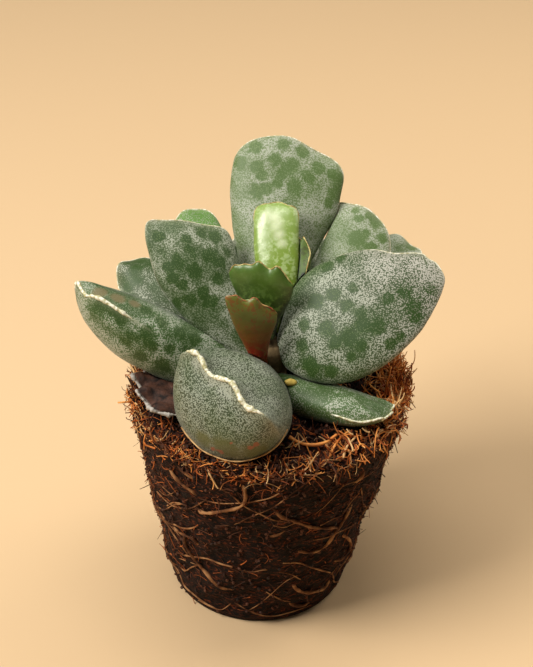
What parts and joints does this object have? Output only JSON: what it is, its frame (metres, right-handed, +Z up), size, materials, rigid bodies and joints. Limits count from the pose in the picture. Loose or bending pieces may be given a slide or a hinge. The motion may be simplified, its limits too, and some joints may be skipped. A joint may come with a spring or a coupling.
{
  "type": "plover eggs plant in a bare root ball",
  "caption": "Small succulent with a rosette of thick, spotted, wavy-edged leaves on a short stem, out of its pot and standing on its tapered root ball.",
  "frame": {"origin": "centre of the root ball's flat foot, on the surface it stands on", "axes": "+Z up along the plant, -Y towards the front that the picture shows, +X to the right of it"},
  "size_m": [0.0629, 0.0567, 0.0779],
  "materials": {
    "mature_leaf": "satin, with a fine silvery bloom over dark green blotches and a pale horny edge",
    "young_leaf": "glossy bright green",
    "flushed_leaf": "satin, orange red at the foot and olive at the edge",
    "dead_leaf": "matt and wrinkled, purple brown with a silvery edge",
    "bark": "matt",
    "peat": "moist dark peat with tan circling roots and orange coir fibres"
  },
  "bodies": {
    "root": {"root_ball": "peat", "stem": "bark", "leaf_front": "mature_leaf", "leaf_right_broad": "mature_leaf", "leaf_left_upright": "mature_leaf", "leaf_left_low": "mature_leaf", "leaf_right_low": "mature_leaf", "leaf_back_tall": "mature_leaf", "leaf_back_right": "mature_leaf", "leaf_back_left": "young_leaf", "leaf_far_left": "mature_leaf", "leaf_far_right": "mature_leaf", "leaf_rear_left": "mature_leaf", "leaf_rear_right": "mature_leaf", "young_leaf_orange": "flushed_leaf", "young_leaf_shell": "young_leaf", "young_leaf_upright": "young_leaf", "young_leaf_hidden": "young_leaf", "dead_leaf": "dead_leaf"}
  },
  "joints": []
}
